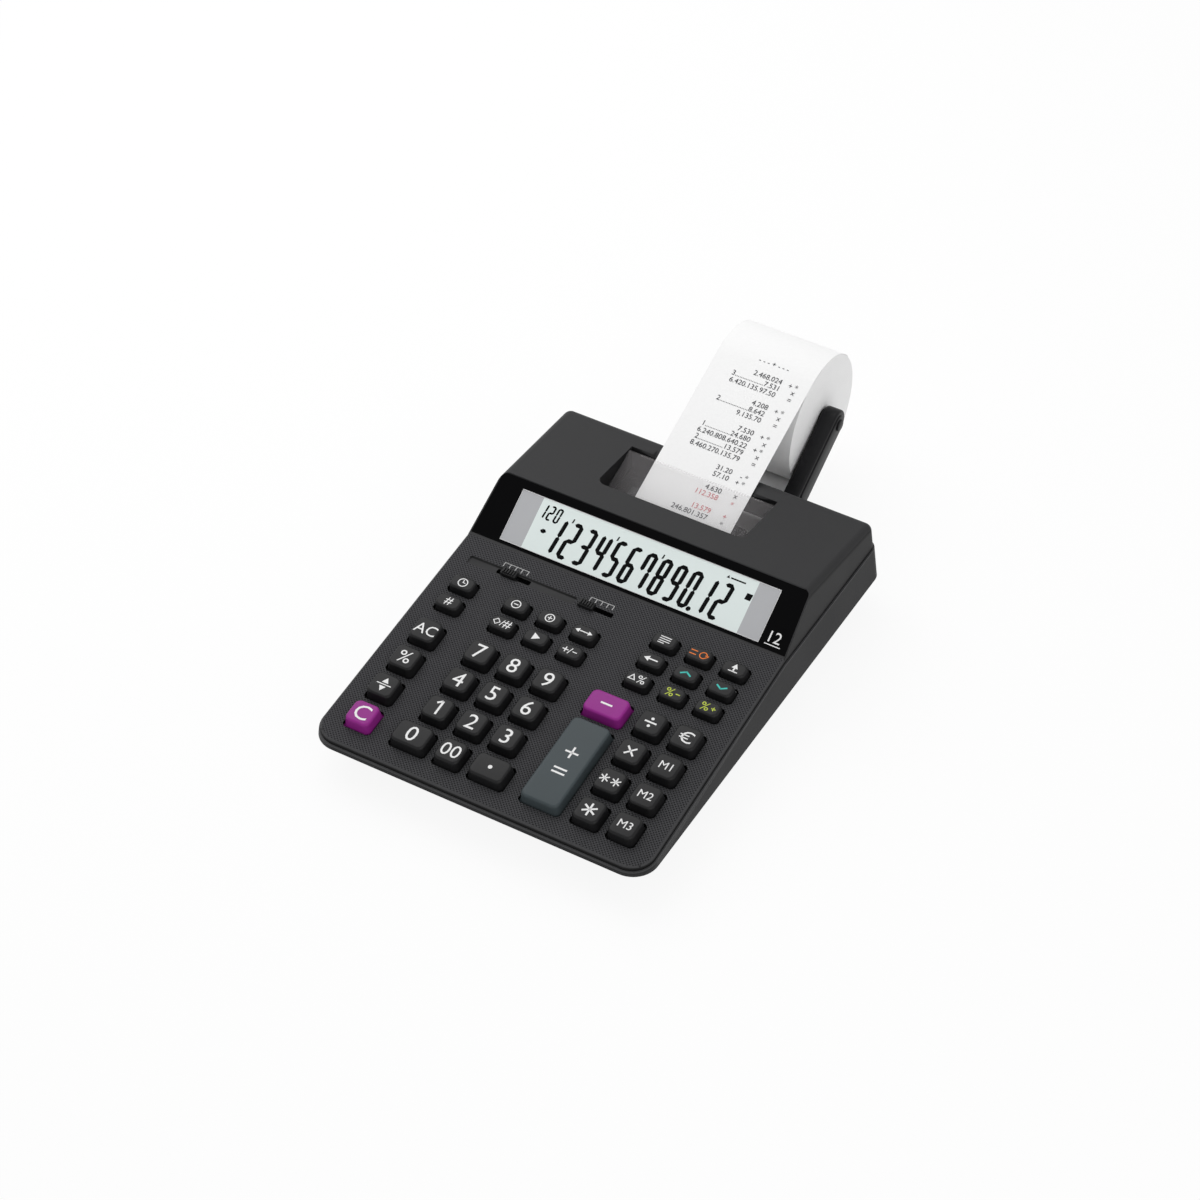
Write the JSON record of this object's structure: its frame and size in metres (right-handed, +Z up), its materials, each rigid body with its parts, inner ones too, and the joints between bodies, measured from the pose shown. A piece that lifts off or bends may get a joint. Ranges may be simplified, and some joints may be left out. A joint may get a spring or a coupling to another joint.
{
  "type": "desk calculator",
  "caption": "Desktop printing calculator: sloped key deck, tilted display, paper roll on rear arms and a smoked printer cover.",
  "frame": {"origin": "on the desk, under the middle of the whole object, feet at z = 0", "axes": "+Z up, -Y towards the user, +X to the user's right"},
  "size_m": [0.195, 0.3564, 0.0848],
  "materials": {
    "case_charcoal": "textured matte",
    "panel_black": "gloss",
    "display_glass": "satin",
    "dome_rubber": "matte",
    "board": "satin",
    "frame_steel": "matte",
    "paper": "matte",
    "cell_wrap": "satin",
    "foot_rubber": "matte",
    "smoked_cover": "gloss",
    "arm_black": "satin",
    "platen_rubber": "matte",
    "key_black": "satin",
    "key_purple": "satin",
    "key_slate": "satin"
  },
  "bodies": {
    "root": {"upper_case": "case_charcoal", "lower_case": "case_charcoal", "display_panel": "panel_black", "lcd_module": "display_glass", "dome_sheet": "dome_rubber", "main_board": "board", "printer_frame": "frame_steel", "paper_tape": "paper", "batteries": "cell_wrap", "rubber_feet": "foot_rubber"},
    "cover": {"printer_cover": "smoked_cover"},
    "arms": {"roll_arms": "arm_black"},
    "roll": {"paper_roll": "paper"},
    "platen": {"platen_roller": "platen_rubber"},
    "left_switch": {"switch_knob_left": "key_black"},
    "right_switch": {"switch_knob_right": "key_black"},
    "battery_lid": {"battery_cover": "case_charcoal"},
    "key_clear": {"key_clear": "key_purple"},
    "key_markup": {"key_markup": "key_black"},
    "key_percent": {"key_percent": "key_black"},
    "key_clear_all": {"key_clear_all": "key_black"},
    "key_1": {"key_1": "key_black"},
    "key_2": {"key_2": "key_black"},
    "key_3": {"key_3": "key_black"},
    "key_4": {"key_4": "key_black"},
    "key_5": {"key_5": "key_black"},
    "key_6": {"key_6": "key_black"},
    "key_7": {"key_7": "key_black"},
    "key_8": {"key_8": "key_black"},
    "key_9": {"key_9": "key_black"},
    "key_0": {"key_0": "key_black"},
    "key_00": {"key_00": "key_black"},
    "key_point": {"key_point": "key_black"},
    "key_total": {"key_total": "key_black"},
    "key_grand_total": {"key_grand_total": "key_black"},
    "key_multiply": {"key_multiply": "key_black"},
    "key_divide": {"key_divide": "key_black"},
    "key_memory_3": {"key_memory_3": "key_black"},
    "key_memory_2": {"key_memory_2": "key_black"},
    "key_memory_1": {"key_memory_1": "key_black"},
    "key_currency": {"key_currency": "key_black"},
    "key_minus": {"key_minus": "key_purple"},
    "key_plus": {"key_plus": "key_slate"},
    "key_item": {"key_item": "key_black"},
    "key_time": {"key_time": "key_black"},
    "key_hash": {"key_hash": "key_black"},
    "key_shift": {"key_shift": "key_black"},
    "key_sign": {"key_sign": "key_black"},
    "key_cost": {"key_cost": "key_black"},
    "key_sell": {"key_sell": "key_black"},
    "key_margin": {"key_margin": "key_black"},
    "key_delta": {"key_delta": "key_black"},
    "key_tax_minus": {"key_tax_minus": "key_black"},
    "key_tax_plus": {"key_tax_plus": "key_black"},
    "key_correct": {"key_correct": "key_black"},
    "key_up": {"key_up": "key_black"},
    "key_down": {"key_down": "key_black"},
    "key_print": {"key_print": "key_black"},
    "key_reprint": {"key_reprint": "key_black"},
    "key_feed": {"key_feed": "key_black"}
  },
  "joints": [
    {"name": "cover_open", "type": "hinge", "parent": "root", "child": "cover", "pos_m": [-0.002, 0.0273, 0.0444], "axis": [1, 0, 0], "range_deg": [0, 65]},
    {"name": "arms_lift", "type": "hinge", "parent": "root", "child": "arms", "pos_m": [-0.002, 0.0878, 0.0155], "axis": [1, 0, 0], "range_deg": [0, 30], "deforming": ["paper_tape"]},
    {"name": "roll_spin", "type": "hinge", "parent": "arms", "child": "roll", "pos_m": [-0.002, 0.1414, 0.0474], "axis": [1, 0, 0], "continuous": true},
    {"name": "platen_spin", "type": "hinge", "parent": "root", "child": "platen", "pos_m": [-0.002, 0.0418, 0.0403], "axis": [1, 0, 0], "continuous": true},
    {"name": "left_switch_slide", "type": "slide", "parent": "root", "child": "left_switch", "axis": [1, 0, 0], "range_m": [-0.005, 0.01]},
    {"name": "right_switch_slide", "type": "slide", "parent": "root", "child": "right_switch", "axis": [1, 0, 0], "range_m": [0, 0.013]},
    {"name": "battery_lid_swing", "type": "hinge", "parent": "root", "child": "battery_lid", "pos_m": [0, -0.0549, 0.003], "axis": [-1, 0, 0], "range_deg": [0, 60]},
    {"name": "key_clear_press", "type": "slide", "parent": "root", "child": "key_clear", "axis": [0, 0.1148, -0.9934], "range_m": [0, 0.002], "stiffness_N_per_m": 150, "springref_m": -0.002, "deforming": ["dome_sheet"]},
    {"name": "key_markup_press", "type": "slide", "parent": "root", "child": "key_markup", "axis": [0, 0.1148, -0.9934], "range_m": [0, 0.002], "stiffness_N_per_m": 150, "springref_m": -0.002, "deforming": ["dome_sheet"]},
    {"name": "key_percent_press", "type": "slide", "parent": "root", "child": "key_percent", "axis": [0, 0.1148, -0.9934], "range_m": [0, 0.002], "stiffness_N_per_m": 150, "springref_m": -0.002, "deforming": ["dome_sheet"]},
    {"name": "key_clear_all_press", "type": "slide", "parent": "root", "child": "key_clear_all", "axis": [0, 0.1148, -0.9934], "range_m": [0, 0.002], "stiffness_N_per_m": 150, "springref_m": -0.002, "deforming": ["dome_sheet"]},
    {"name": "key_1_press", "type": "slide", "parent": "root", "child": "key_1", "axis": [0, 0.1148, -0.9934], "range_m": [0, 0.002], "stiffness_N_per_m": 150, "springref_m": -0.002, "deforming": ["dome_sheet"]},
    {"name": "key_2_press", "type": "slide", "parent": "root", "child": "key_2", "axis": [0, 0.1148, -0.9934], "range_m": [0, 0.002], "stiffness_N_per_m": 150, "springref_m": -0.002, "deforming": ["dome_sheet"]},
    {"name": "key_3_press", "type": "slide", "parent": "root", "child": "key_3", "axis": [0, 0.1148, -0.9934], "range_m": [0, 0.002], "stiffness_N_per_m": 150, "springref_m": -0.002, "deforming": ["dome_sheet"]},
    {"name": "key_4_press", "type": "slide", "parent": "root", "child": "key_4", "axis": [0, 0.1148, -0.9934], "range_m": [0, 0.002], "stiffness_N_per_m": 150, "springref_m": -0.002, "deforming": ["dome_sheet"]},
    {"name": "key_5_press", "type": "slide", "parent": "root", "child": "key_5", "axis": [0, 0.1148, -0.9934], "range_m": [0, 0.002], "stiffness_N_per_m": 150, "springref_m": -0.002, "deforming": ["dome_sheet"]},
    {"name": "key_6_press", "type": "slide", "parent": "root", "child": "key_6", "axis": [0, 0.1148, -0.9934], "range_m": [0, 0.002], "stiffness_N_per_m": 150, "springref_m": -0.002, "deforming": ["dome_sheet"]},
    {"name": "key_7_press", "type": "slide", "parent": "root", "child": "key_7", "axis": [0, 0.1148, -0.9934], "range_m": [0, 0.002], "stiffness_N_per_m": 150, "springref_m": -0.002, "deforming": ["dome_sheet"]},
    {"name": "key_8_press", "type": "slide", "parent": "root", "child": "key_8", "axis": [0, 0.1148, -0.9934], "range_m": [0, 0.002], "stiffness_N_per_m": 150, "springref_m": -0.002, "deforming": ["dome_sheet"]},
    {"name": "key_9_press", "type": "slide", "parent": "root", "child": "key_9", "axis": [0, 0.1148, -0.9934], "range_m": [0, 0.002], "stiffness_N_per_m": 150, "springref_m": -0.002, "deforming": ["dome_sheet"]},
    {"name": "key_0_press", "type": "slide", "parent": "root", "child": "key_0", "axis": [0, 0.1148, -0.9934], "range_m": [0, 0.002], "stiffness_N_per_m": 150, "springref_m": -0.002, "deforming": ["dome_sheet"]},
    {"name": "key_00_press", "type": "slide", "parent": "root", "child": "key_00", "axis": [0, 0.1148, -0.9934], "range_m": [0, 0.002], "stiffness_N_per_m": 150, "springref_m": -0.002, "deforming": ["dome_sheet"]},
    {"name": "key_point_press", "type": "slide", "parent": "root", "child": "key_point", "axis": [0, 0.1148, -0.9934], "range_m": [0, 0.002], "stiffness_N_per_m": 150, "springref_m": -0.002, "deforming": ["dome_sheet"]},
    {"name": "key_total_press", "type": "slide", "parent": "root", "child": "key_total", "axis": [0, 0.1148, -0.9934], "range_m": [0, 0.002], "stiffness_N_per_m": 150, "springref_m": -0.002, "deforming": ["dome_sheet"]},
    {"name": "key_grand_total_press", "type": "slide", "parent": "root", "child": "key_grand_total", "axis": [0, 0.1148, -0.9934], "range_m": [0, 0.002], "stiffness_N_per_m": 150, "springref_m": -0.002, "deforming": ["dome_sheet"]},
    {"name": "key_multiply_press", "type": "slide", "parent": "root", "child": "key_multiply", "axis": [0, 0.1148, -0.9934], "range_m": [0, 0.002], "stiffness_N_per_m": 150, "springref_m": -0.002, "deforming": ["dome_sheet"]},
    {"name": "key_divide_press", "type": "slide", "parent": "root", "child": "key_divide", "axis": [0, 0.1148, -0.9934], "range_m": [0, 0.002], "stiffness_N_per_m": 150, "springref_m": -0.002, "deforming": ["dome_sheet"]},
    {"name": "key_memory_3_press", "type": "slide", "parent": "root", "child": "key_memory_3", "axis": [0, 0.1148, -0.9934], "range_m": [0, 0.002], "stiffness_N_per_m": 150, "springref_m": -0.002, "deforming": ["dome_sheet"]},
    {"name": "key_memory_2_press", "type": "slide", "parent": "root", "child": "key_memory_2", "axis": [0, 0.1148, -0.9934], "range_m": [0, 0.002], "stiffness_N_per_m": 150, "springref_m": -0.002, "deforming": ["dome_sheet"]},
    {"name": "key_memory_1_press", "type": "slide", "parent": "root", "child": "key_memory_1", "axis": [0, 0.1148, -0.9934], "range_m": [0, 0.002], "stiffness_N_per_m": 150, "springref_m": -0.002, "deforming": ["dome_sheet"]},
    {"name": "key_currency_press", "type": "slide", "parent": "root", "child": "key_currency", "axis": [0, 0.1148, -0.9934], "range_m": [0, 0.002], "stiffness_N_per_m": 150, "springref_m": -0.002, "deforming": ["dome_sheet"]},
    {"name": "key_minus_press", "type": "slide", "parent": "root", "child": "key_minus", "axis": [0, 0.1148, -0.9934], "range_m": [0, 0.002], "stiffness_N_per_m": 150, "springref_m": -0.002, "deforming": ["dome_sheet"]},
    {"name": "key_plus_press", "type": "slide", "parent": "root", "child": "key_plus", "axis": [0, 0.1148, -0.9934], "range_m": [0, 0.002], "stiffness_N_per_m": 150, "springref_m": -0.002, "deforming": ["dome_sheet"]},
    {"name": "key_item_press", "type": "slide", "parent": "root", "child": "key_item", "axis": [0, 0.1148, -0.9934], "range_m": [0, 0.002], "stiffness_N_per_m": 150, "springref_m": -0.002, "deforming": ["dome_sheet"]},
    {"name": "key_time_press", "type": "slide", "parent": "root", "child": "key_time", "axis": [0, 0.1148, -0.9934], "range_m": [0, 0.002], "stiffness_N_per_m": 150, "springref_m": -0.002, "deforming": ["dome_sheet"]},
    {"name": "key_hash_press", "type": "slide", "parent": "root", "child": "key_hash", "axis": [0, 0.1148, -0.9934], "range_m": [0, 0.002], "stiffness_N_per_m": 150, "springref_m": -0.002, "deforming": ["dome_sheet"]},
    {"name": "key_shift_press", "type": "slide", "parent": "root", "child": "key_shift", "axis": [0, 0.1148, -0.9934], "range_m": [0, 0.002], "stiffness_N_per_m": 150, "springref_m": -0.002, "deforming": ["dome_sheet"]},
    {"name": "key_sign_press", "type": "slide", "parent": "root", "child": "key_sign", "axis": [0, 0.1148, -0.9934], "range_m": [0, 0.002], "stiffness_N_per_m": 150, "springref_m": -0.002, "deforming": ["dome_sheet"]},
    {"name": "key_cost_press", "type": "slide", "parent": "root", "child": "key_cost", "axis": [0, 0.1148, -0.9934], "range_m": [0, 0.002], "stiffness_N_per_m": 150, "springref_m": -0.002, "deforming": ["dome_sheet"]},
    {"name": "key_sell_press", "type": "slide", "parent": "root", "child": "key_sell", "axis": [0, 0.1148, -0.9934], "range_m": [0, 0.002], "stiffness_N_per_m": 150, "springref_m": -0.002, "deforming": ["dome_sheet"]},
    {"name": "key_margin_press", "type": "slide", "parent": "root", "child": "key_margin", "axis": [0, 0.1148, -0.9934], "range_m": [0, 0.002], "stiffness_N_per_m": 150, "springref_m": -0.002, "deforming": ["dome_sheet"]},
    {"name": "key_delta_press", "type": "slide", "parent": "root", "child": "key_delta", "axis": [0, 0.1148, -0.9934], "range_m": [0, 0.002], "stiffness_N_per_m": 150, "springref_m": -0.002, "deforming": ["dome_sheet"]},
    {"name": "key_tax_minus_press", "type": "slide", "parent": "root", "child": "key_tax_minus", "axis": [0, 0.1148, -0.9934], "range_m": [0, 0.002], "stiffness_N_per_m": 150, "springref_m": -0.002, "deforming": ["dome_sheet"]},
    {"name": "key_tax_plus_press", "type": "slide", "parent": "root", "child": "key_tax_plus", "axis": [0, 0.1148, -0.9934], "range_m": [0, 0.002], "stiffness_N_per_m": 150, "springref_m": -0.002, "deforming": ["dome_sheet"]},
    {"name": "key_correct_press", "type": "slide", "parent": "root", "child": "key_correct", "axis": [0, 0.1148, -0.9934], "range_m": [0, 0.002], "stiffness_N_per_m": 150, "springref_m": -0.002, "deforming": ["dome_sheet"]},
    {"name": "key_up_press", "type": "slide", "parent": "root", "child": "key_up", "axis": [0, 0.1148, -0.9934], "range_m": [0, 0.002], "stiffness_N_per_m": 150, "springref_m": -0.002, "deforming": ["dome_sheet"]},
    {"name": "key_down_press", "type": "slide", "parent": "root", "child": "key_down", "axis": [0, 0.1148, -0.9934], "range_m": [0, 0.002], "stiffness_N_per_m": 150, "springref_m": -0.002, "deforming": ["dome_sheet"]},
    {"name": "key_print_press", "type": "slide", "parent": "root", "child": "key_print", "axis": [0, 0.1148, -0.9934], "range_m": [0, 0.002], "stiffness_N_per_m": 150, "springref_m": -0.002, "deforming": ["dome_sheet"]},
    {"name": "key_reprint_press", "type": "slide", "parent": "root", "child": "key_reprint", "axis": [0, 0.1148, -0.9934], "range_m": [0, 0.002], "stiffness_N_per_m": 150, "springref_m": -0.002, "deforming": ["dome_sheet"]},
    {"name": "key_feed_press", "type": "slide", "parent": "root", "child": "key_feed", "axis": [0, 0.1148, -0.9934], "range_m": [0, 0.002], "stiffness_N_per_m": 150, "springref_m": -0.002, "deforming": ["dome_sheet"]}
  ],
  "couplings": [
    {"joint": "platen_spin", "follows": "roll_spin", "ratio": 6.1333}
  ]
}
